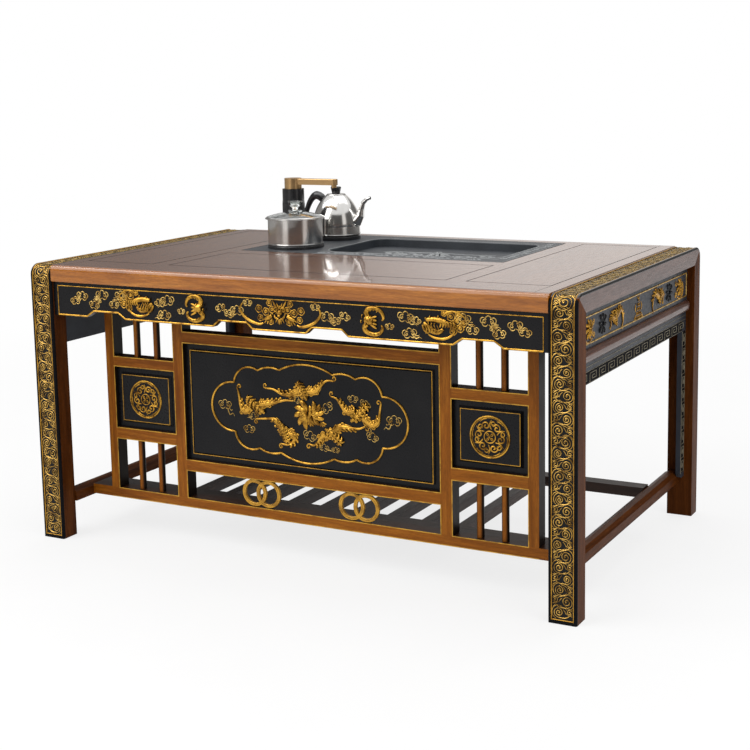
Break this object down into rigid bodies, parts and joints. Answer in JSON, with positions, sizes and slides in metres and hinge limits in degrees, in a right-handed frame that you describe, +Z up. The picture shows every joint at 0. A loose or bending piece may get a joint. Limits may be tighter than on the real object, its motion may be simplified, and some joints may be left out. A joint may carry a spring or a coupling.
{
  "type": "gongfu tea table",
  "caption": "Chinese gongfu tea table of red-brown hardwood with gilt carving on black lacquer, a recessed front screen, a footrest, a sunk stone tray, a kettle, a pot and a swinging faucet",
  "frame": {"origin": "centre of the footprint of the four legs, on the floor", "axes": "+X along the length to the right as seen from the carved front, +Y from the front to the rear, +Z up"},
  "size_m": [1.6, 1, 0.975],
  "materials": {
    "warm_wood": "glossy varnish",
    "dark_wood": "glossy varnish",
    "black_lacquer": "satin lacquer",
    "gilding": "antique gilding on carved wood",
    "gilt_band": "gilt carving on a black ground",
    "stone": "honed dark stone",
    "steel": "polished",
    "black_plastic": "gloss",
    "gold_metal": "satin",
    "glass": "clear"
  },
  "bodies": {
    "table": {"top_front_rail": "warm_wood", "top_rear_rail": "warm_wood", "top_end_stiles": "warm_wood", "top_dividers": "warm_wood", "tray_rail": "warm_wood", "top_panel_left": "warm_wood", "top_panel_right": "warm_wood", "top_panel_front": "warm_wood", "top_battens": "warm_wood", "tray_ledgers": "warm_wood", "screen_head_rail": "warm_wood", "screen_bottom_rail": "warm_wood", "outer_stiles": "warm_wood", "inner_stiles": "warm_wood", "panel_rails": "warm_wood", "bay_rails": "warm_wood", "spindles": "warm_wood", "footrest_board": "warm_wood", "leg_front_left": "dark_wood", "leg_front_right": "dark_wood", "leg_rear_left": "dark_wood", "leg_rear_right": "dark_wood", "end_rail_left": "dark_wood", "end_rail_right": "dark_wood", "end_mouldings": "dark_wood", "end_stretcher_left": "dark_wood", "end_stretcher_right": "dark_wood", "rear_stretcher": "dark_wood", "footrest_bars": "dark_wood", "end_board_left": "black_lacquer", "end_board_right": "black_lacquer", "end_fret_left": "black_lacquer", "end_fret_right": "black_lacquer", "apron_front": "black_lacquer", "apron_rear": "black_lacquer", "centre_panel": "black_lacquer", "bay_panels": "black_lacquer", "medallions": "gilding", "ring_pairs": "gilding", "cartouche": "gilding", "screen_carving": "gilding", "apron_carving": "gilding", "end_carving": "gilding", "cloud_band_left": "gilt_band", "cloud_band_right": "gilt_band", "tea_tray": "stone", "drain_spout": "black_plastic", "hob_case": "black_plastic", "pot_heater": "black_plastic", "kettle_heater": "black_plastic", "water_column": "black_plastic"},
    "faucet": {"faucet": "gold_metal"},
    "kettle": {"kettle_body": "steel", "kettle_handle": "black_plastic"},
    "kettle_lid": {"kettle_lid": "steel", "kettle_knob": "black_plastic"},
    "pot": {"pot_body": "steel"},
    "pot_lid": {"pot_lid": "glass", "pot_knob": "glass"},
    "strainer": {"basin_strainer": "steel"}
  },
  "joints": [
    {"name": "faucet_swing", "type": "hinge", "parent": "table", "child": "faucet", "pos_m": [-0.378, 0.215, 0.943], "axis": [0, 0, 1], "range_deg": [-150, 150]},
    {"name": "kettle_lift", "type": "slide", "parent": "table", "child": "kettle", "axis": [0, 0, 1], "range_m": [0, 0.25]},
    {"name": "kettle_lid_lift", "type": "slide", "parent": "kettle", "child": "kettle_lid", "axis": [0, 0, 1], "range_m": [0, 0.08]},
    {"name": "pot_lift", "type": "slide", "parent": "table", "child": "pot", "axis": [0, 0, 1], "range_m": [0, 0.25]},
    {"name": "pot_lid_lift", "type": "slide", "parent": "pot", "child": "pot_lid", "axis": [0, 0, 1], "range_m": [0, 0.08]},
    {"name": "strainer_lift", "type": "slide", "parent": "table", "child": "strainer", "axis": [0, 0, 1], "range_m": [0, 0.06]}
  ]
}
